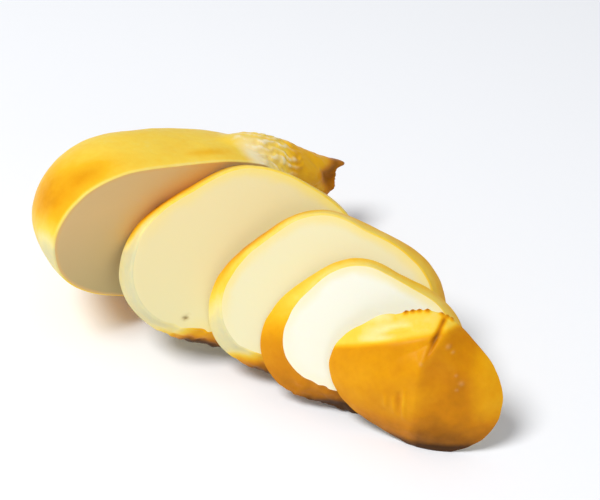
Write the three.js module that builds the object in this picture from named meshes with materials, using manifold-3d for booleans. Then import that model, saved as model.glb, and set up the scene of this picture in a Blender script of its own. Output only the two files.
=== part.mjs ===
// Sliced smoked scamorza: a pear-shaped stretched-curd cheese, cut lengthwise into a heel, three slices
// and an end cap that lie fanned out on a table. Millimetres, +Z up. The fan runs along +X, and the cut
// faces look to -Y.
import * as THREE from "three";
import { mergeVertices } from "three/addons/utils/BufferGeometryUtils.js";
import Module from "manifold-3d";

const { degToRad, smoothstep, clamp, lerp } = THREE.MathUtils;

// The whole cheese lies on its side. Its outline, seen from the side that is cut, is a mean radius with a
// few waves around it: the cosine and sine amplitudes of one, two, three and four turns. The slices have
// slumped a little, so their outline is rounder than the heel's.
const MEAN_RADIUS = 39.5;
const HEEL_WAVES = [[-2.4, -7.2], [8.0, -4.7], [-1.1, 0.4], [1.2, -0.8]];
const SLICE_WAVES = [[-1.1, -5.9], [4.5, -2.1], [-2.1, -1.5], [1.0, 0.4]];
const BACK_DEPTH = 36;
const FRONT_DEPTH = 46;

// The rind's slow unevenness: how high its lumps are, and how many go round the cheese and along its depth
const LUMP_HEIGHT = 0.4;
const LUMPS_ROUND = 3;
const LUMPS_ALONG = 5;

// Where the knife went, measured from the thickest place towards the front
const CUTS = [9, 20, 28.6, 36.2];
const KNIFE_REACH = 4 * MEAN_RADIUS;

// How each piece came to lie: the place of its middle, its turn on the table, how far its top leans back,
// its tilt to one side, and how deep its foot is pressed flat. Size is how far a cut piece has slumped
// since it was whole.
const HEEL_PLACE = { x: -47.9, y: -27.8, yaw: 30.7, lean: 0, roll: 0, foot: 1.6 };
const SLICE_PLACES = [
  { x: -16.5, y: -49.3, yaw: 12.5, lean: 34.5, roll: -1.7, foot: 0.6, size: 1 },
  { x: 10.6, y: -68.8, yaw: 1, lean: 33.5, roll: -5.5, foot: 0.6, size: 0.975 },
  { x: 22.4, y: -83, yaw: -0.6, lean: 32, roll: -4.5, foot: 0.6, size: 0.955 },
];
const CAP_PLACE = { x: 38.5, y: -103.3, yaw: -14.5, lean: 25, roll: 1.9, foot: 0.8, size: 1.01 };

// The neck, where the cheese was tied: a drooping stub that leaves the heel's shoulder, with a hollow end.
// Its profile gives the radius at places along its axis, from inside the body to the lip.
const NECK_ROOT = new THREE.Vector3(18, 7, 13.6);
const NECK_DROOP = degToRad(28);
const NECK_PROFILE = [[0, -6], [6, 0], [10.3, 10], [12.3, 21], [10.8, 33], [9.2, 45], [7.8, 56]];
const NECK_HOLLOW = 4;
const NECK_FOLDS = 9;
const NECK_FOLD_DEPTH = 0.6;
const NECK_HOOK = 6;
const NECK_HOOK_GATHER = 8;
const NECK_HOOK_SPREAD = degToRad(23);

// The closing fold on the front flank: ridges that run down from one peak, each rounded over a small crest
const PEAK = { x: 7, z: 17, height: 6 };
const BEND = { x: 1, z: 7, height: 4.5 };
const RIDGES = [
  { from: PEAK, to: BEND, width: 8 },
  { from: BEND, to: { x: 1, z: -22, height: 0.5 }, width: 10 },
  { from: PEAK, to: { x: -26, z: 4, height: 1 }, width: 8 },
];
const CREST = 3;

// Facets round the cheese, from its back to its front, and round and along the neck
const ROUND_STEPS = 72;
const DEPTH_STEPS = 44;
const NECK_STEPS = 36;
const NECK_RINGS = 24;
const HOLLOW_RINGS = 4;

const RIND = { color: 0xe9a91c, roughness: 0.45, metalness: 0 };
const PASTE = { color: 0xefe9c9, roughness: 0.55, metalness: 0 };

const wasm = await Module();
wasm.setup();

// A mesh with shared corners, only positions, and no triangles that have shrunk to a line
function bareMesh(geometry) {
  geometry.deleteAttribute("normal");
  geometry.deleteAttribute("uv");
  const mesh = mergeVertices(geometry);
  const corners = mesh.index.array;
  const kept = [];
  for (let i = 0; i < corners.length; i += 3) {
    const [a, b, c] = corners.slice(i, i + 3);
    if (a !== b && b !== c && c !== a) kept.push(a, b, c);
  }
  mesh.setIndex(kept);
  return mesh;
}

function solidFrom(geometry) {
  return new wasm.Manifold(new wasm.Mesh({
    numProp: 3,
    vertProperties: Float32Array.from(geometry.attributes.position.array),
    triVerts: Uint32Array.from(geometry.index.array),
  }));
}

function geometryFrom(solid) {
  const { vertProperties, triVerts } = solid.getMesh();
  const geometry = new THREE.BufferGeometry();
  geometry.setAttribute("position", new THREE.BufferAttribute(vertProperties, 3));
  geometry.setIndex(new THREE.BufferAttribute(triVerts, 1));
  return geometry;
}

function movePoints(geometry, move) {
  const position = geometry.attributes.position;
  const spot = new THREE.Vector3();
  for (let i = 0; i < position.count; i++) {
    move(spot.fromBufferAttribute(position, i));
    position.setXYZ(i, spot.x, spot.y, spot.z);
  }
  return geometry;
}

function outlineRadius(turn, waves) {
  return waves.reduce((sum, [cosine, sine], k) => {
    return sum + cosine * Math.cos((k + 1) * turn) + sine * Math.sin((k + 1) * turn);
  }, MEAN_RADIUS);
}

// How far the closing fold lifts the rind at x, z on the front flank: each ridge falls away on both sides
function foldHeight(x, z) {
  const heights = RIDGES.map(({ from, to, width }) => {
    const run = new THREE.Vector2(to.x - from.x, to.z - from.z);
    const offset = new THREE.Vector2(x - from.x, z - from.z);
    const along = clamp(offset.dot(run) / run.lengthSq(), 0, 1);
    const aside = offset.addScaledVector(run, -along).length();
    return lerp(from.height, to.height, along) * Math.exp((CREST - Math.hypot(aside, CREST)) / width);
  });
  return Math.max(...heights);
}

// The body of the cheese: a sphere's grid with its poles at the back and the front, lifted at the front
function bodySolid(waves, size, liftAt) {
  const grid = bareMesh(new THREE.SphereGeometry(1, ROUND_STEPS, DEPTH_STEPS));
  return solidFrom(movePoints(grid, (spot) => {
    const turn = Math.atan2(spot.z, spot.x);
    const lump = LUMP_HEIGHT * Math.sin(LUMPS_ROUND * turn + LUMPS_ALONG * spot.y);
    const radius = size * outlineRadius(turn, waves) + lump;
    const front = smoothstep(-spot.y * FRONT_DEPTH, CUTS[2], CUTS[3]);
    spot.set(spot.x * radius, spot.y * (spot.y > 0 ? BACK_DEPTH : FRONT_DEPTH), spot.z * radius);
    spot.y -= front * liftAt(spot.x, spot.z);
  }));
}

// The neck, turned about its own axis, gathered into folds and hooked at the upper side of its lip
function neckSolid() {
  const places = NECK_PROFILE.map(([radius, along]) => new THREE.Vector2(radius, along));
  const [lipRadius, length] = NECK_PROFILE.at(-1);
  const side = new THREE.SplineCurve(places).getPoints(NECK_RINGS);
  const hollow = new THREE.QuadraticBezierCurve(
    places.at(-1),
    new THREE.Vector2(lipRadius / 2, length - NECK_HOLLOW),
    new THREE.Vector2(0, length - NECK_HOLLOW),
  ).getPoints(HOLLOW_RINGS);
  const lathe = bareMesh(new THREE.LatheGeometry([...side, ...hollow.slice(1)], NECK_STEPS));
  movePoints(lathe, (spot) => {
    const turn = Math.atan2(spot.x, spot.z);
    const free = smoothstep(spot.y, length / 2, length);
    const reach = Math.hypot(spot.x, spot.z);
    const folded = 1 + (free * NECK_FOLD_DEPTH * Math.cos(NECK_FOLDS * turn)) / lipRadius;
    const lip = smoothstep(reach, lipRadius / 2, lipRadius) * free ** NECK_HOOK_GATHER;
    const hook = NECK_HOOK * Math.exp(-((turn / NECK_HOOK_SPREAD) ** 2));
    spot.set(spot.x * folded, spot.y + lip * hook, spot.z * folded);
  });
  lathe.rotateZ(-Math.PI / 2);
  lathe.rotateY(NECK_DROOP);
  lathe.translate(...NECK_ROOT);
  return solidFrom(lathe);
}

// A block of space, as a solid to cut with
function block(width, depth, height, middle) {
  const box = new THREE.BoxGeometry(width, depth, height);
  box.translate(...middle);
  return bareMesh(box);
}

// The part of a cheese between two knife cuts
function cutPiece(cheese, from, to) {
  const slab = block(KNIFE_REACH, to - from, KNIFE_REACH, [0, -(from + to) / 2, 0]);
  return cheese.intersect(solidFrom(slab));
}

// Lays a piece on the table, turned about the middle of its thickness, and presses its foot flat there
function layDown(name, solid, middle, { x, y, yaw, lean, roll, foot }, finish) {
  const piece = new THREE.Mesh(geometryFrom(solid), new THREE.MeshStandardMaterial(finish));
  piece.name = name;
  piece.position.y = middle;
  const pose = new THREE.Group().add(piece);
  pose.rotation.set(-degToRad(lean), degToRad(roll), degToRad(yaw), "ZXY");
  pose.position.set(x, y, 0);
  pose.position.z = -foot - new THREE.Box3().setFromObject(pose, true).min.z;
  pose.updateMatrixWorld();
  const table = block(KNIFE_REACH, KNIFE_REACH, KNIFE_REACH, [x, y, -KNIFE_REACH / 2]);
  table.applyMatrix4(piece.matrixWorld.clone().invert());
  piece.geometry = geometryFrom(solid.subtract(solidFrom(table)));
  return pose;
}

const noFold = () => 0;
const wholeHeel = bodySolid(HEEL_WAVES, 1, noFold).add(neckSolid());
const heel = cutPiece(wholeHeel, -2 * BACK_DEPTH, CUTS[0]);
const scamorza = new THREE.Group().add(layDown("heel", heel, 0, HEEL_PLACE, RIND));

SLICE_PLACES.forEach((place, k) => {
  const [from, to] = CUTS.slice(k, k + 2);
  const slice = cutPiece(bodySolid(SLICE_WAVES, place.size, noFold), from, to);
  scamorza.add(layDown(`slice_${k + 1}`, slice, (from + to) / 2, place, PASTE));
});

const cap = cutPiece(bodySolid(SLICE_WAVES, CAP_PLACE.size, foldHeight), CUTS[3], 2 * FRONT_DEPTH);
scamorza.add(layDown("end_cap", cap, (CUTS[3] + FRONT_DEPTH) / 2, CAP_PLACE, RIND));

// The origin is on the table, under the middle of the fan
const middle = new THREE.Box3().setFromObject(scamorza, true).getCenter(new THREE.Vector3());
scamorza.position.set(-middle.x, -middle.y, 0);

export default scamorza;
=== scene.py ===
import math

import bpy
import numpy as np
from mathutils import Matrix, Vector, kdtree, noise


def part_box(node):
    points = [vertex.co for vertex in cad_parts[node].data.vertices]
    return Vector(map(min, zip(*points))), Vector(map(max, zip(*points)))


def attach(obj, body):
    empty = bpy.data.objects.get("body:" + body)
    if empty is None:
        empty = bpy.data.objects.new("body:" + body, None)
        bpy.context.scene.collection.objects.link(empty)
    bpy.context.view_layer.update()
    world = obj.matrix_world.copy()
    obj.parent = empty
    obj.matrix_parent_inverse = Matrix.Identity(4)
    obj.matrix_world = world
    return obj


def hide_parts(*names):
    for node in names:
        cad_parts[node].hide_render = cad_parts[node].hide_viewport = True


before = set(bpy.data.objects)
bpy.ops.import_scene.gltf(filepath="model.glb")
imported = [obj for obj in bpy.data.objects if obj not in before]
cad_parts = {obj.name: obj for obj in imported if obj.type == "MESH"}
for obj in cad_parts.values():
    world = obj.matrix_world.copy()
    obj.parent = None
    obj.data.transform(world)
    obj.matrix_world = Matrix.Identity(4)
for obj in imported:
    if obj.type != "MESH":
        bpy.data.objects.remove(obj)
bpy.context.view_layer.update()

# Heel: the uncut rest of a pear-shaped stretched-curd cheese that lies on its side, its tied neck to the
# right. The curd was pulled and moulded by hand and then smoked, so one golden skin runs over body and neck.
# It is modelled in millimetres, with the cut face looking to -Y, and made metres when it is laid down.
MEAN_RADIUS = 39.5
HEEL_WAVES = ((-2.4, -7.2), (8.0, -4.7), (-1.1, 0.4), (1.2, -0.8))
BACK_DEPTH, FRONT_DEPTH = 36, 46
BACK_FULLNESS = 2.7
NEAR_POLE = 0.9999
LUMP_HEIGHT = 0.4
HEEL_BULGES = ((222, 24, -3), (140, 28, 1.2))
HEEL_CUT = 9
HEEL_YAW = 30.7
HEEL_EDGE = 0.6
SKIN_VOXEL = 0.65


def outline_radius(turn, waves):
    """The cheese's radius at each turn round its outline: the mean and a few waves about it."""
    return MEAN_RADIUS + sum(c * np.cos(k * turn) + s * np.sin(k * turn) for k, (c, s) in enumerate(waves, 1))


def smooth_step(value, low, high):
    share = np.clip((value - low) / (high - low), 0, 1)
    return share * share * (3 - 2 * share)


def points(piece):
    spots = np.zeros(len(piece.data.vertices) * 3, np.float32)
    piece.data.vertices.foreach_get("co", spots)
    return spots.reshape(-1, 3).astype(float)


def move_points(piece, spots):
    piece.data.vertices.foreach_set("co", np.ascontiguousarray(spots, np.float32).ravel())
    piece.data.update()


def normals_of(piece):
    normals = np.zeros(len(piece.data.vertices) * 3, np.float32)
    piece.data.vertices.foreach_get("normal", normals)
    return normals.reshape(-1, 3)


def rough(spots, size):
    """Even noise at each point, with lumps of the given size."""
    return np.array([noise.noise(spot) for spot in (spots / size).tolist()])


def select_only(piece):
    bpy.ops.object.select_all(action="DESELECT")
    piece.select_set(True)
    bpy.context.view_layer.objects.active = piece


def whole_cheese(name, waves, size, bulges=()):
    """A ball of curd with its poles at the back and front, pulled to the cheese's outline and depth. Each
    bulge of the hand-made outline has the turn where it lies, how far round it reaches, and its height."""
    bpy.ops.object.select_all(action="DESELECT")
    bpy.ops.mesh.primitive_uv_sphere_add(segments=80, ring_count=56, radius=1, rotation=(math.pi / 2, 0, 0))
    bpy.ops.object.transform_apply(rotation=True)
    bpy.ops.object.mode_set(mode="EDIT")
    bpy.ops.mesh.select_all(action="SELECT")
    bpy.ops.mesh.subdivide(number_cuts=3)
    bpy.ops.object.mode_set(mode="OBJECT")
    cheese = bpy.context.object
    cheese.name = cheese.data.name = name
    ball = points(cheese)
    ball /= np.linalg.norm(ball, axis=1)[:, None]
    turn = np.arctan2(ball[:, 2], ball[:, 0])
    radius = size * outline_radius(turn, waves) + LUMP_HEIGHT * np.sin(3 * turn + 5 * ball[:, 1])
    for middle, reach, height in bulges:
        away = (np.degrees(turn) - middle + 180) % 360 - 180
        radius += height * np.exp(-(away / reach) ** 2)
    behind = np.clip(ball[:, 1], 0, NEAR_POLE)
    radius *= (1 - behind ** BACK_FULLNESS) ** (1 / BACK_FULLNESS) / np.sqrt(1 - behind ** 2)
    depth = np.where(ball[:, 1] > 0, BACK_DEPTH, FRONT_DEPTH)
    spots = ball * np.stack((radius, depth, radius), axis=1)
    dents = 0.35 * rough(spots, 14) + 0.12 * rough(spots, 5)
    move_points(cheese, spots + ball * dents[:, None])
    return cheese


def apply_modifier(piece, kind, **settings):
    select_only(piece)
    modifier = piece.modifiers.new(kind.title(), kind)
    for key, value in settings.items():
        setattr(modifier, key, value)
    bpy.ops.object.modifier_apply(modifier=modifier.name)


heel = whole_cheese("heel", HEEL_WAVES, 1, HEEL_BULGES)

# The neck is drawn out of the shoulder, ring by ring
NECK_ROOT = Vector((18, 7, 13.6))
NECK_DROOP = math.radians(28)
NECK_PROFILE = ((-6, 1.5), (0, 6), (10, 10.3), (21, 12.3), (33, 10.8), (45, 9.2), (56, 7.8))
NECK_LENGTH, NECK_LIP = NECK_PROFILE[-1]
neck_axis = Vector((math.cos(NECK_DROOP), 0, -math.sin(NECK_DROOP)))
neck_up = Vector((math.sin(NECK_DROOP), 0, math.cos(NECK_DROOP)))
bend = np.polyfit(*zip(*NECK_PROFILE), 4)
ring_places = np.linspace(NECK_PROFILE[0][0], NECK_LENGTH, 32).tolist()
ring_radii = np.maximum(np.polyval(bend, ring_places), 1).tolist()
bpy.ops.object.select_all(action="DESELECT")
bpy.ops.mesh.primitive_circle_add(vertices=64, radius=ring_radii[0], fill_type="NGON",
                                  location=NECK_ROOT + ring_places[0] * neck_axis,
                                  rotation=(0, math.pi / 2 + NECK_DROOP, 0))
bpy.ops.object.transform_apply(location=True, rotation=True)
neck = bpy.context.object
bpy.ops.object.mode_set(mode="EDIT")
bpy.ops.mesh.select_all(action="SELECT")
for count in range(1, len(ring_places)):
    step = (ring_places[count] - ring_places[count - 1]) * neck_axis
    wider = ring_radii[count] / ring_radii[count - 1]
    bpy.ops.mesh.extrude_region_move(TRANSFORM_OT_translate={"value": step})
    bpy.ops.transform.resize(value=(wider, wider, wider),
                             center_override=NECK_ROOT + ring_places[count] * neck_axis)
bpy.ops.mesh.select_all(action="SELECT")
bpy.ops.mesh.normals_make_consistent(inside=False)
bpy.ops.object.mode_set(mode="OBJECT")
heel.select_set(True)
bpy.context.view_layer.objects.active = heel
bpy.ops.object.join()
apply_modifier(heel, "REMESH", mode="VOXEL", voxel_size=SKIN_VOXEL, use_smooth_shade=True)


def neck_place(spots):
    """How far along the neck's axis each point lies, how far off it, and its turn round it from the top."""
    offset = spots - np.array(NECK_ROOT)
    along = offset @ np.array(neck_axis)
    aside = offset - np.outer(along, np.array(neck_axis))
    return along, np.linalg.norm(aside, axis=1), np.arctan2(aside[:, 1], aside @ np.array(neck_up))


# The crease where the neck leaves the body is drawn out smooth, as wet curd is
along, off, turn = neck_place(points(heel))
near_neck = smooth_step(along, -8, 6) * smooth_step(-along, -36, -24) * smooth_step(-off, -28, -18)
group = heel.vertex_groups.new(name="shoulder")
for index in np.flatnonzero(near_neck > 0.01):
    group.add([int(index)], float(near_neck[index]), "REPLACE")
apply_modifier(heel, "SMOOTH", factor=0.6, iterations=70, vertex_group="shoulder")

# The tie gathered the neck into dry wrinkles, then into a few broad folds. Its end is hollow and torn open
# at the front, with a tip at the top
spots = points(heel)
along, off, turn = neck_place(spots)
wander, fine, crinkle = rough(spots, 9), rough(spots, 2.4), rough(spots, 4)
on_neck = smooth_step(-off, -20, -15)
dried = on_neck * smooth_step(along, 8, 16) * smooth_step(-along, -38, -32)
swollen = on_neck * smooth_step(along, 34, 44)
wrinkles = np.cos(19 * turn + 5 * wander + 4 * crinkle + 0.2 * along)
broad_folds = np.cos(5 * turn + 3 * wander)
rise = dried * (0.3 * wrinkles + 0.35 * fine) + swollen * (0.5 * broad_folds + 0.3 * fine)
spots += normals_of(heel) * rise[:, None]
hollow = smooth_step(along, NECK_LENGTH - 3, NECK_LENGTH - 0.5)
hollow *= smooth_step(-off, -0.95 * NECK_LIP, -0.3 * NECK_LIP)
tip = smooth_step(along, NECK_LENGTH - 6, NECK_LENGTH) * smooth_step(off, 3, NECK_LIP)
tip *= np.exp(-(turn / 0.4) ** 2)
tear = swollen * smooth_step(along, 46, 53) * np.exp(-((turn + 1.15) / 0.4) ** 2)
spots += np.outer(6 * tip - 5 * hollow, np.array(neck_axis))
axis_points = np.array(NECK_ROOT) + np.outer(along, np.array(neck_axis))
tear *= 0.4 * smooth_step(-along, -NECK_LENGTH - 1, -NECK_LENGTH + 1)
spots -= (spots - axis_points) * tear[:, None]
move_points(heel, spots)

EDGE_BENDS = (math.pi / 6, math.pi / 3, math.pi / 2)
RING_DEPTHS = (0.4, 0.8, 1.3, 1.9, 2.6, 3.5, 4.6, 6, 8, 10.5, 14, 18, 23, 28)


def cut_across(piece, edge, *cuts):
    """Cuts the piece across at each y, drops what lies beyond on that side, and closes the new faces with
    rings that lie closer together near the rim. The first rings round the cut edge."""
    select_only(piece)
    bpy.ops.object.mode_set(mode="EDIT")
    bpy.ops.mesh.select_mode(type="VERT")
    for at, side in cuts:
        bpy.ops.mesh.select_all(action="SELECT")
        bpy.ops.mesh.bisect(plane_co=(0, at - edge * side, 0), plane_no=(0, side, 0), clear_outer=True)
        bpy.ops.mesh.remove_doubles(threshold=0.3)
    for at, side in cuts:
        bpy.ops.mesh.select_all(action="DESELECT")
        bpy.ops.mesh.select_non_manifold()
        bpy.ops.object.mode_set(mode="OBJECT")
        spots = points(piece)
        rim = np.zeros(len(spots), bool)
        piece.data.vertices.foreach_get("select", rim)
        rim &= np.abs(spots[:, 1] - (at - edge * side)) < 1
        spots[rim, 1] = at - edge * side
        move_points(piece, spots)
        bpy.ops.object.mode_set(mode="EDIT")
        bpy.ops.mesh.select_all(action="DESELECT")
        bpy.ops.object.mode_set(mode="OBJECT")
        piece.data.vertices.foreach_set("select", rim)
        radius = np.linalg.norm(spots[rim][:, (0, 2)], axis=1).mean()
        bpy.ops.object.mode_set(mode="EDIT")
        steps = [(edge * (1 - math.cos(bend)), edge * math.sin(bend)) for bend in EDGE_BENDS]
        steps += [(edge + depth, edge) for depth in RING_DEPTHS if edge + depth < 0.8 * radius]
        inward, forward = 0, 0
        for next_inward, next_forward in steps:
            closer = (radius - next_inward) / (radius - inward)
            bpy.ops.mesh.extrude_edges_indiv()
            bpy.ops.transform.resize(value=(closer, 1, closer), center_override=(0, at, 0))
            if next_forward != forward:
                bpy.ops.transform.translate(value=(0, (next_forward - forward) * side, 0))
            inward, forward = next_inward, next_forward
        bpy.ops.mesh.edge_face_add()
    bpy.ops.mesh.select_all(action="SELECT")
    bpy.ops.mesh.normals_make_consistent(inside=False)
    bpy.ops.object.mode_set(mode="OBJECT")


def cut_marks(piece, edge, *planes):
    """Gives the cut faces the second material. Tells which points lie on them, and for every point its
    distance from the rim and the nearest rim point's number."""
    spots = points(piece)
    on_cut, on_rind = np.zeros(len(spots), bool), np.zeros(len(spots), bool)
    for face in piece.data.polygons:
        flat = any(abs(face.center.y - at) < 0.03 * edge for at in planes) and abs(face.normal.y) > 0.9
        face.material_index = int(flat)
        (on_cut if flat else on_rind)[list(face.vertices)] = True
    rim = np.flatnonzero(on_cut & on_rind)
    tree = kdtree.KDTree(len(rim))
    for index in rim:
        tree.insert(spots[index], int(index))
    tree.balance()
    found = [tree.find(spot)[1:] for spot in spots]
    return on_cut, np.array([distance for _, distance in found]), np.array([nearest for nearest, _ in found])


def lay_down(piece, node, yaw, lean=0, roll=0, taller=0):
    """Turns a piece as it came to lie, puts it where its solid lies, and presses its foot flat. Taller is how
    far its top reaches past the solid's, along its lean. Gives each point's height above the table in
    millimetres."""
    select_only(piece)
    piece.rotation_mode = "YXZ"
    piece.rotation_euler = (-math.radians(lean), math.radians(roll), math.radians(yaw))
    piece.scale = (0.001, 0.001, 0.001)
    bpy.ops.object.transform_apply(rotation=True, scale=True)
    spots = points(piece)
    low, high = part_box(node)
    spots[:, 0] += low.x - spots[:, 0].min()
    past = 0.001 * taller * np.array((math.sin(math.radians(lean)), math.cos(math.radians(lean))))
    spots[:, 1:] += np.array(high)[1:] + past - spots[:, 1:].max(0)
    spots[:, 2] = np.maximum(spots[:, 2], 0)
    move_points(piece, spots)
    bpy.ops.object.shade_smooth_by_angle(angle=math.radians(50))
    piece.name = piece.data.name = node + "_cheese"
    return 1000 * spots[:, 2]


def paint(piece, **tones):
    for name, values in tones.items():
        attribute = piece.data.attributes.new(name, "FLOAT", "POINT")
        attribute.data.foreach_set("value", np.ascontiguousarray(np.clip(values, 0, 60), np.float32))


def linear(colour):
    """An sRGB hex colour as linear light."""
    shares = [int(colour[k:k + 2], 16) / 255 for k in (1, 3, 5)]
    return (*(s / 12.92 if s <= 0.04045 else ((s + 0.055) / 1.055) ** 2.4 for s in shares), 1)


def add_node(tree, kind, sockets=None, stops=None, **settings):
    """Adds a node with its settings. A socket takes a value or another node's output, a ramp its stops."""
    node = tree.nodes.new("ShaderNode" + kind)
    for name, value in settings.items():
        setattr(node, name, value)
    for name, value in (sockets or {}).items():
        if isinstance(value, bpy.types.NodeSocket):
            tree.links.new(value, node.inputs[name])
        else:
            node.inputs[name].default_value = value
    for count, (place, colour) in enumerate(stops or ()):
        ramp = node.color_ramp.elements
        stop = ramp[count] if count < 2 else ramp.new(place)
        stop.position, stop.color = place, linear(colour)
    return node


def smoked_rind(name):
    """Smoked stretched-curd rind: a thin dry skin, the colour of the paste where the smoke missed it, and
    yellow, gold, amber and brown the more it took. The same level also carries painted shade, darker on
    undersides and shaded sides, and painted light, paler on lit tops and edges; pale mixes in dry skin and
    painted highlights. It is satin and puckered, and lets a little light in."""
    material = bpy.data.materials.new(name)
    material.use_nodes = True
    tree = material.node_tree
    shader = tree.nodes["Principled BSDF"]
    place = add_node(tree, "TexCoord").outputs["Object"]
    patches = add_node(tree, "TexNoise", {"Vector": place, "Scale": 1 / 0.014, "Detail": 3.0})
    specks = add_node(tree, "TexNoise", {"Vector": place, "Scale": 1 / 0.0025, "Detail": 4.0})
    smoke = add_node(tree, "Attribute", attribute_name="smoke").outputs["Fac"]
    pale = add_node(tree, "Attribute", attribute_name="pale").outputs["Fac"]
    broad = add_node(tree, "MapRange", {"Value": patches.outputs["Fac"], "From Min": 0.3, "From Max": 0.7,
                                        "To Min": 0.9, "To Max": 1.1})
    close = add_node(tree, "MapRange", {"Value": specks.outputs["Fac"], "From Min": 0.3, "From Max": 0.7,
                                        "To Min": -0.015, "To Max": 0.015})
    level = add_node(tree, "Math", {0: smoke, 1: broad.outputs[0], 2: close.outputs[0]},
                     operation="MULTIPLY_ADD")
    # The first stop, the unsmoked colour, is a greyed cream: partly the paste's colour, partly painted shade
    tone = add_node(tree, "ValToRGB", {"Fac": level.outputs[0]}, stops=(
        (0.0, "#D8D2A6"), (1.0, "#4A2A04"), (0.1, "#F5E394"), (0.22, "#FBD44A"), (0.36, "#F5BB1E"),
        (0.5, "#E8A008"), (0.64, "#D28404"), (0.76, "#AE6A04"), (0.88, "#7E4C06")))
    colour = add_node(tree, "Mix", {"Factor": pale, "A": tone.outputs["Color"], "B": linear("#FFF6DC")},
                      data_type="RGBA")
    tree.links.new(colour.outputs["Result"], shader.inputs["Base Color"])
    sheen = add_node(tree, "MapRange", {"Value": specks.outputs["Fac"], "To Min": 0.3, "To Max": 0.55})
    tree.links.new(sheen.outputs[0], shader.inputs["Roughness"])
    puckers = add_node(tree, "Bump", {"Height": specks.outputs["Fac"], "Strength": 0.25, "Distance": 0.0004})
    tree.links.new(puckers.outputs["Normal"], shader.inputs["Normal"])
    shader.inputs["IOR"].default_value = 1.46
    shader.inputs["Specular IOR Level"].default_value = 0.12
    shader.inputs["Subsurface Weight"].default_value = 0.15
    shader.inputs["Subsurface Radius"].default_value = (1, 0.55, 0.2)
    shader.inputs["Subsurface Scale"].default_value = 0.003
    return material


def cut_paste(name, upper, lower, rim, soaked_width):
    """Cut scamorza paste: smooth, moist and compact. It is ivory in the middle, and yellow under the rind,
    where the smoke soaked in a few millimetres. Its colour runs from the lower one at the foot to the upper
    one at the top; where the lower is darker, that is painted shade. A painted-shade mark darkens it further
    toward khaki brown."""
    material = bpy.data.materials.new(name)
    material.use_nodes = True
    tree = material.node_tree
    shader = tree.nodes["Principled BSDF"]
    place = add_node(tree, "TexCoord").outputs["Object"]
    drift = add_node(tree, "TexNoise", {"Vector": place, "Scale": 1 / 0.009, "Detail": 2.0})
    grain = add_node(tree, "TexNoise", {"Vector": place, "Scale": 1 / 0.0012, "Detail": 3.0})
    margin = add_node(tree, "Attribute", attribute_name="margin").outputs["Fac"]
    soak = add_node(tree, "Attribute", attribute_name="soak").outputs["Fac"]
    height = add_node(tree, "SeparateXYZ", {0: place}).outputs["Z"]
    level = add_node(tree, "MapRange", {"Value": height, "From Min": 0.005, "From Max": 0.055})
    middle = add_node(tree, "Mix", {"Factor": level.outputs[0], "A": linear(lower), "B": linear(upper)},
                      data_type="RGBA")
    uneven = add_node(tree, "MapRange", {"Value": drift.outputs["Fac"], "From Min": 0.3, "From Max": 0.7,
                                         "To Min": 0.8 / soaked_width, "To Max": 1.25 / soaked_width})
    depth = add_node(tree, "Math", {0: margin, 1: uneven.outputs[0]}, operation="MULTIPLY")
    fading = add_node(tree, "MapRange", {"Value": depth.outputs[0], "To Min": 1.0, "To Max": 0.0},
                      interpolation_type="SMOOTHERSTEP")
    strength = add_node(tree, "Math", {0: fading.outputs[0], 1: soak}, operation="MULTIPLY")
    colour = add_node(tree, "Mix", {"Factor": strength.outputs[0], "A": middle.outputs["Result"],
                                    "B": linear(rim)}, data_type="RGBA")
    # Painted shade: where the mark is set, the paste is darkened toward khaki brown
    stain = add_node(tree, "Attribute", attribute_name="stain").outputs["Fac"]
    stained = add_node(tree, "Mix", {"Factor": stain, "A": colour.outputs["Result"],
                                     "B": linear("#96783C")}, data_type="RGBA")
    tree.links.new(stained.outputs["Result"], shader.inputs["Base Color"])
    close = add_node(tree, "Bump", {"Height": grain.outputs["Fac"], "Strength": 0.12, "Distance": 0.0002})
    tree.links.new(close.outputs["Normal"], shader.inputs["Normal"])
    shader.inputs["Roughness"].default_value = 0.5
    shader.inputs["IOR"].default_value = 1.45
    shader.inputs["Specular IOR Level"].default_value = 0.3
    shader.inputs["Subsurface Weight"].default_value = 0.2
    shader.inputs["Subsurface Radius"].default_value = (1, 0.75, 0.4)
    shader.inputs["Subsurface Scale"].default_value = 0.003
    return material


def patch(spots, middle, reach):
    """A soft round patch: 1 in its middle, fading over its reach."""
    return np.exp(-(np.linalg.norm((spots - np.array(middle)) / np.array(reach), axis=1) ** 2))


# Where the smoke settled on the heel: its usual strength, and the middle, reach and extra of each patch
HEEL_SMOKE = 0.23
SMOKE_PATCHES = (((-45, 4, 17), (12, 16, 11), 0.34), ((-32, -2, 27), (9, 6, 6), 0.2),
                 ((13, -2, 22), (9, 2.5, 4), 0.12))
# A patch the smoke missed, low on the left, that takes the ramp's greyed cream: partly the paste's colour,
# partly painted shade
SMOKE_MISSED = ((-52, -5, 4), (9, 12, 10))
# A pale patch on the neck: partly dry skin, partly painted highlight
WHITE_SKIN_AND_HIGHLIGHT = ((27, -4, 17), (11, 9, 8))
cut_across(heel, HEEL_EDGE, (-HEEL_CUT, -1))
on_cut, margin, nearest = cut_marks(heel, HEEL_EDGE, -HEEL_CUT)
spots = points(heel)
along, off, turn = neck_place(spots)
wander, fine, crinkle = rough(spots, 9), rough(spots, 2.4), rough(spots, 4)
on_neck = smooth_step(-off, -20, -15)
dried = smooth_step(-off, -26, -19) * smooth_step(along, 3, 11) * smooth_step(-along, -34, -28)
end = on_neck * smooth_step(along, 25, 33)
torn = on_neck * smooth_step(along + 8 * np.exp(-((turn + 1.1) / 0.5) ** 2), 51, 57)
smoke = HEEL_SMOKE + sum(more * patch(spots, middle, reach) for middle, reach, more in SMOKE_PATCHES)
# Darker toward the underside: partly smoke, partly painted shade
smoke += 0.45 * smooth_step(-spots[:, 2], 16, 36)
smoke += 0.2 * end + 0.36 * torn
smoke *= 1 - 0.9 * patch(spots, *SMOKE_MISSED)
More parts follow.
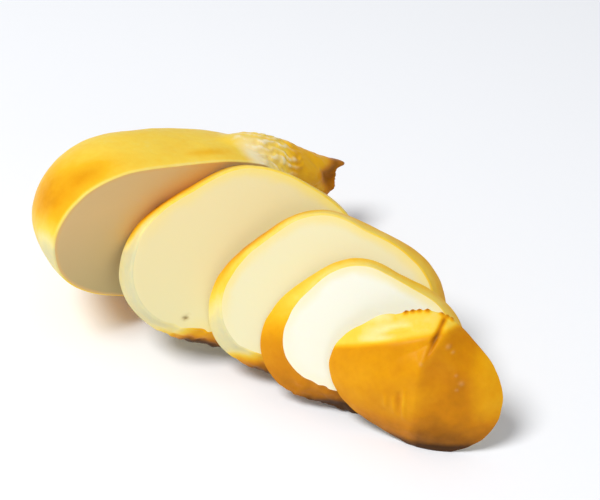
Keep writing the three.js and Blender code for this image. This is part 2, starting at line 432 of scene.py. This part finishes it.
# A painted highlight along the upper cut edge, where the rounded rind edge catches the light: the rind there
# is painted pale yellow
upper_rim = smooth_step(-margin, -1.8, -0.6) * smooth_step(spots[:, 2], 6, 16)
smoke += (0.17 - smoke) * upper_rim
# Pale streaks along the dried wrinkles, and the pale patch: partly dry skin, partly painted highlight
streaks = smooth_step(np.cos(19 * turn + 5 * wander + 4 * crinkle + 0.2 * along), -0.2, 0.9)
white_skin_and_highlight = patch(spots, *WHITE_SKIN_AND_HIGHLIGHT)
pale = dried * np.maximum(0.7 * streaks * (0.4 + 0.6 * smooth_step(fine, -0.2, 0.3)), 0.8 * white_skin_and_highlight)
rind = smoked_rind("smoked_scamorza_rind")
heel.data.materials.append(rind)
# The heel's cut face is painted a darker tan and khaki than the slices' faces: painted shade on the upright
# face behind slice_1
heel.data.materials.append(cut_paste("heel_paste", "#E6C48A", "#B5A876", "#E9C07C", 1.6))
height = lay_down(heel, "heel", HEEL_YAW)
# Darker near the table and along the lower cut edge: partly smoke, partly painted shade
smoke += 0.45 * smooth_step(-height, -9, -0.5)
smoke += 0.5 * smooth_step(-margin, -3, -1) * smooth_step(-height, -16, -3)
# The heel's cut face is painted darker toward khaki brown near the table: painted shade
stain = 0.6 * smooth_step(-height, -16, 0)
paint(heel, smoke=smoke, pale=pale, margin=margin, soak=np.ones(len(spots)), stain=stain)
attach(heel, "root")
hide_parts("heel")

# Slices: three pieces of the same cheese, cut lengthwise one after the other with a knife, that have slumped
# forward and lean back on what is behind them. A narrow rind runs round each, and the faces are bare paste.
SLICE_WAVES = ((-1.1, -5.9), (4.5, -2.1), (-2.1, -1.5), (1.0, 0.4))
CUTS = (9, 20, 28.6, 36.2)
# Each slice's edge is the radius that its cut edge wore to, and taller is as lay_down takes it. Rind gives, at
# turns round it, the smoke at the back edge, at the front edge and soaked into the face, and how much of the
# rind the front shows: 1 where the slice is as round as the whole cheese was. The smoke values also carry
# painted light: the back edge is darker partly as painted shade where the slice rests on the piece behind,
# the brown round the lower turns is partly painted shade, and the near-white rind round the left turns is
# partly a painted highlight. Upper and lower are the paste's colours at the top and at the foot; they are
# darker on the slices further back, painted shade.
SLICES = (
    {"yaw": 12.5, "lean": 34.5, "roll": -1.7, "size": 1, "edge": 1.1, "taller": 0, "bulges": (),
     "upper": "#F0DFA8", "lower": "#E4DDAA",
     "rind": ((18, 0.42, 0.22, 0.9, 0.6), (47, 0.36, 0.22, 0.9, 0.5), (85, 0.34, 0.2, 0.8, 0.45),
              (112, 0.5, 0.2, 0.6, 0.45), (145, 0.74, 0.22, 0.5, 0.5), (160, 0.45, 0.1, 0.25, 0.7),
              (172, 0.04, 0, 0, 1), (205, 0.06, 0.02, 0, 1.1), (216, 0.3, 0.08, 0.1, 1.6),
              (225, 1, 0.4, 0.3, 1.9), (260, 1, 0.6, 0.4, 1.9), (310, 0.9, 0.5, 0.3, 1.2))},
    {"yaw": 1, "lean": 33.5, "roll": -5.5, "size": 0.975, "edge": 1.0, "taller": 2.6,
     "bulges": ((4, 32, 3.6), (112, 38, 3)),
     "upper": "#F2E8BC", "lower": "#EDE8BE",
     "rind": ((13, 0.4, 0.28, 0.6, 0.9), (46, 0.36, 0.2, 0.7, 0.45), (85, 0.36, 0.18, 0.6, 0.35),
              (107, 0.46, 0.18, 0.5, 0.35), (144, 0.62, 0.2, 0.5, 0.45), (166, 0.42, 0.28, 0.6, 0.7),
              (177, 0.2, 0.12, 0.4, 0.8), (187, 0.05, 0.02, 0.1, 0.9), (202, 0.05, 0.02, 0, 1.1),
              (209, 0.5, 0.12, 0.1, 1.6), (219, 0.9, 0.5, 0.2, 1.8), (260, 1, 0.7, 0.3, 1.7),
              (320, 0.8, 0.5, 0.4, 1.2), (351, 0.45, 0.3, 0.6, 1.1))},
    {"yaw": -0.6, "lean": 32, "roll": -4.5, "size": 0.955, "edge": 0.5, "taller": 2.4,
     "bulges": ((4, 32, 2.6), (115, 38, 3)),
     "upper": "#FBF9EA", "lower": "#F8F5DE",
     "rind": ((2, 0.36, 0.22, 0.5, 0.6), (48, 0.36, 0.2, 0.6, 0.4), (83, 0.32, 0.18, 0.5, 0.35),
              (116, 0.32, 0.18, 0.4, 0.4), (148, 0.3, 0.2, 0.3, 0.7), (164, 0.34, 0.34, 0.2, 1),
              (182, 0.55, 0.6, 0.1, 1.15), (205, 0.62, 0.64, 0.1, 1.2), (223, 0.72, 0.7, 0.1, 1.3),
              (236, 0.9, 0.78, 0.2, 1.3), (270, 1, 0.85, 0.3, 1.3), (320, 0.8, 0.6, 0.4, 1))},
)
PIT, PIT_RADIUS, PIT_DEPTH = (-27.5, -19), 0.8, 0.9


def width_at(depth):
    """The cheese's width at a depth in front of its thickest place, as a share of its full width."""
    return np.sqrt(1 - (depth / FRONT_DEPTH) ** 2)


for count, look in enumerate(SLICES):
    back, front = CUTS[count:count + 2]
    node = f"slice_{count + 1}"
    piece = whole_cheese(node, SLICE_WAVES, look["size"], look["bulges"])
    spots = points(piece)
    turn = np.degrees(np.arctan2(spots[:, 2], spots[:, 0])) % 360
    turns, *amounts = zip(*look["rind"])
    flank = np.interp(turn, turns, amounts[3], period=360)
    now, widest = width_at(np.clip(-spots[:, 1], back, front + 1)), width_at(back)
    crumbs = 0.025 * rough(spots, 3.6) + 0.012 * rough(spots, 1.7)
    crumbs *= np.interp(turn, (203, 218, 320, 345), (0, 1, 1, 0))
    spots[:, (0, 2)] *= ((widest + (now - widest) * flank) / now + crumbs)[:, None]
    move_points(piece, spots)
    cut_across(piece, look["edge"], (-back, 1), (-front, -1))
    on_cut, margin, nearest = cut_marks(piece, look["edge"], -back, -front)
    spots = points(piece)
    turn = np.degrees(np.arctan2(spots[:, 2], spots[:, 0]))
    back_smoke, front_smoke, soak, flank = (np.interp(turn, turns, amount, period=360) for amount in amounts)
    share = (spots[:, 1] + front) / (front - back)
    # The back edge takes a darker smoke level, partly as painted shade where the slice rests on the piece
    # behind
    smoke = front_smoke + (back_smoke - front_smoke) * smooth_step(share, 0.15, 0.85)
    soak = np.where(on_cut, soak[nearest], soak)
    stain = np.zeros(len(spots))
    # The pit in slice_1's face is painted darker toward khaki brown: painted shade in the pit
    if count == 0:
        stain = patch(spots[:, (0, 2)], PIT, PIT_RADIUS) * (share < 0.1)
        spots[:, 1] += PIT_DEPTH * stain
        move_points(piece, spots)
    piece.data.materials.append(rind)
    # This slice's paste colours are darker the further back it stands: painted shade
    piece.data.materials.append(cut_paste(node + "_paste", look["upper"], look["lower"], "#F9E07C", 5.0))
    height = lay_down(piece, node, look["yaw"], look["lean"], look["roll"], look["taller"])
    # Darker near the table: partly smoke, partly painted shade
    smoke += 0.35 * smooth_step(-height, -8, -0.5)
    paint(piece, smoke=smoke, pale=np.zeros(len(spots)), margin=margin, soak=soak, stain=stain)
    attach(piece, "root")
    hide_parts(node)

# End cap: the outermost piece, rind all over its front. The curd was closed here by folding it over, which
# left a peak at the upper rim, ridges that run from it and creases. The smoke darkened one crease; the other
# folds are painted paler where raised and darker where sunken, painted highlight and painted shade.
CAP = {"yaw": -14.5, "lean": 25, "roll": 1.9, "size": 1.01}
PEAK, BEND = (7, 17, 6.0), (1, 7, 4.5)
RIDGE_FOOT, RIDGE_END = (1, -22, 0.5), (-26, 4, 1.0)
RIDGES = ((PEAK, BEND, 8), (BEND, RIDGE_FOOT, 10), (PEAK, RIDGE_END, 8))
CREST = 0.8
# Small folds on the rind: their ends, how far they stand out, or in, and how wide they are
SCORCHED_FOLD = ((5.2, 20), (2.4, 8.5), -0.8, 0.9)
CAP_FOLDS = (SCORCHED_FOLD, ((-21, 10.6), (-4, 17.6), 0.9, 1.5), ((-14, 12.4), (-4, 16.4), -0.9, 0.9),
             ((-22, 8.4), (-8, 12.9), 0.7, 1.2), ((-23, 14.6), (-11, 18), 1.2, 1.5),
             ((-3, -2), (-2, -14.5), 0.6, 0.8), ((-4.8, -4), (-3.8, -13), -0.4, 0.8),
             ((-6.4, -6), (-5.6, -13), 0.35, 0.7), ((-9.4, -6), (-8.6, -12), 0.3, 0.7))
PIMPLES = ((8.5, 13.1, 0.7), (10.2, 11.4, 0.5), (1.1, 6.9, 0.6), (14.6, 1.8, 0.8), (12.5, 4.2, 0.5),
           (13.5, -0.5, 0.5))
BEAD_TURNS = (70, 74, 79, 92, 99, 105, 111)
BEAD_RADIUS, BEAD_HEIGHT, BEAD_INSET = 0.9, 0.7, 0.5
CAP_EDGE = 0.4
CAP_BULGES = ((-14, 50, 2.2),)


def along_line(place, start, stop):
    """Where each x, z lies along a line between two points, from 0 to 1, and how far off it."""
    run = np.array(stop) - start
    offset = place - np.array(start)
    share = np.clip(offset @ run / (run @ run), 0, 1)
    return share, np.linalg.norm(offset - np.outer(share, run), axis=1)


def fold_mark(place, start, stop, width):
    """A soft line between two points, that runs out at both ends."""
    share, aside = along_line(place, start, stop)
    return np.sin(math.pi * share) ** 0.7 * np.exp(-(aside / width) ** 2)


def ridge_lift(place):
    """How far the closing fold lifts the rind, as ridges that fall away on both sides."""
    lift = np.zeros(len(place))
    for (x0, z0, h0), (x1, z1, h1), width in RIDGES:
        share, aside = along_line(place, (x0, z0), (x1, z1))
        lift = np.maximum(lift, (h0 + (h1 - h0) * share) * np.exp((CREST - np.hypot(aside, CREST)) / width))
    return lift


def rim_beads(spots):
    """The row of scorched beads that the tie's cord left along the upper rim."""
    reach = np.hypot(spots[:, 0], spots[:, 2])
    turn = np.arctan2(spots[:, 2], spots[:, 0])
    from_rim = -spots[:, 1] - CUTS[3] - BEAD_INSET
    beads = np.zeros(len(spots))
    for middle in np.radians(BEAD_TURNS):
        beads = np.maximum(beads, np.exp(-(np.hypot(reach * (turn - middle), from_rim) / BEAD_RADIUS) ** 2))
    return beads


cap = whole_cheese("end_cap", SLICE_WAVES, CAP["size"], CAP_BULGES)
spots = points(cap)
place = spots[:, (0, 2)]
front_side = smooth_step(-spots[:, 1], CUTS[2], CUTS[3])
rise = 0.1 * rough(spots, 4)
for start, stop, height, width in CAP_FOLDS:
    rise += height * fold_mark(place, start, stop, width)
for bump_x, bump_z, radius in PIMPLES:
    rise += 0.5 * radius * patch(place, (bump_x, bump_z), radius)
spots[:, 1] -= ridge_lift(place) * front_side
beads = rim_beads(spots)
move_points(cap, spots)
move_points(cap, spots + normals_of(cap) * (rise * front_side + BEAD_HEIGHT * beads)[:, None])
paint(cap, bead=beads)
cut_across(cap, CAP_EDGE, (-CUTS[3], 1))
on_cut, margin, nearest = cut_marks(cap, CAP_EDGE, -CUTS[3])
spots = points(cap)
place = spots[:, (0, 2)]
x, z = place.T
run_x, run_z = PEAK[0] - RIDGE_END[0], PEAK[1] - RIDGE_END[1]
above = (run_x * (z - PEAK[1]) - run_z * (x - PEAK[0])) / math.hypot(run_x, run_z)
ridge_x, ridge_z, _ = zip(RIDGE_FOOT, BEND, PEAK)
right = x - np.interp(z, ridge_z, ridge_x)
# The facet right of the ridge is painted darker: painted shade
smoke = 0.54 + 0.08 * smooth_step(right, -1.5, 3)
# The top facet above the upper ridge is painted paler: painted light on a face turned up
smoke += (0.22 - smoke) * smooth_step(above, -0.5, 2)
# The lower right rim is painted paler: painted light from the right
smoke -= 0.16 * smooth_step(x, 14, 24) * smooth_step(z, -14, -4)
# Darker toward the bottom: partly smoke, partly painted shade
smoke += 0.26 * smooth_step(-z, 8, 26)
start, stop, _, width = SCORCHED_FOLD
share, aside = along_line(place, start, stop)
beads = np.zeros(len(spots), np.float32)
cap.data.attributes["bead"].data.foreach_get("value", beads)
smoke += 0.6 * (1 - share) * np.exp(-(aside / width) ** 2) + 0.6 * beads
# Raised folds are painted paler and sunken ones darker: painted highlight and painted shade
for start, stop, height, width in CAP_FOLDS[1:]:
    smoke -= 0.08 * math.copysign(width, height) * fold_mark(place, start, stop, width)
# The pimples are painted pale: painted highlights
pale = np.zeros(len(spots))
for bump_x, bump_z, radius in PIMPLES:
    pale = np.maximum(pale, 0.08 * patch(place, (bump_x, bump_z), radius))
cap.data.materials.append(rind)
cap.data.materials.append(cut_paste("cap_paste", "#F4EFD6", "#F4EFD6", "#FBDD70", 3.0))
height = lay_down(cap, "end_cap", CAP["yaw"], CAP["lean"], CAP["roll"])
# Darker near the table: partly smoke, partly painted shade
smoke += 0.25 * smooth_step(-height, -5, -0.5)
paint(cap, smoke=smoke, pale=pale, margin=margin, soak=np.ones(len(spots)), stain=np.zeros(len(spots)))
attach(cap, "root")
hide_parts("end_cap")

# Table: a plain white top under soft light from above and the left, with a weak fill from the front right
bpy.ops.object.select_all(action="DESELECT")
bpy.ops.mesh.primitive_plane_add(size=6)
table = bpy.context.object
table.name = "table"
white = bpy.data.materials.new("white_table")
white.use_nodes = True
white.node_tree.nodes["Principled BSDF"].inputs["Base Color"].default_value = linear("#FCFDFF")
white.node_tree.nodes["Principled BSDF"].inputs["Roughness"].default_value = 0.9
table.data.materials.append(white)

world = bpy.data.worlds.new("soft_room")
world.use_nodes = True
world.node_tree.nodes["Background"].inputs["Color"].default_value = linear("#F6F9FF")
world.node_tree.nodes["Background"].inputs["Strength"].default_value = 0.4
bpy.context.scene.world = world


def soft_light(name, place, size, power):
    light = bpy.data.lights.new(name, "AREA")
    light.shape = "DISK"
    light.size = size
    light.energy = power
    lamp = bpy.data.objects.new(name, light)
    lamp.location = place
    lamp.rotation_mode = "QUATERNION"
    lamp.rotation_quaternion = (-Vector(place)).to_track_quat("-Z", "Y")
    bpy.context.scene.collection.objects.link(lamp)


soft_light("overhead", (-0.64, -0.39, 1.42), 0.7, 19.0)
soft_light("front_fill", (0.75, -1.25, 0.5), 0.6, 2.0)

# Camera: the photograph's view, a long lens 36 degrees above the table
TARGET = Vector((0.01535, 0.0468, 0))
ELEVATION = math.radians(36.4)
DISTANCE = 0.5333
lens = bpy.data.cameras.new("camera")
lens.lens, lens.sensor_width = 80, 36
camera = bpy.data.objects.new("camera", lens)
back = Vector((0, -math.cos(ELEVATION), math.sin(ELEVATION)))
camera.location = TARGET + DISTANCE * back
camera.rotation_mode = "QUATERNION"
camera.rotation_quaternion = (-back).to_track_quat("-Z", "Y")
bpy.context.scene.collection.objects.link(camera)
bpy.context.scene.camera = camera
bpy.context.scene.view_settings.view_transform = "Standard"
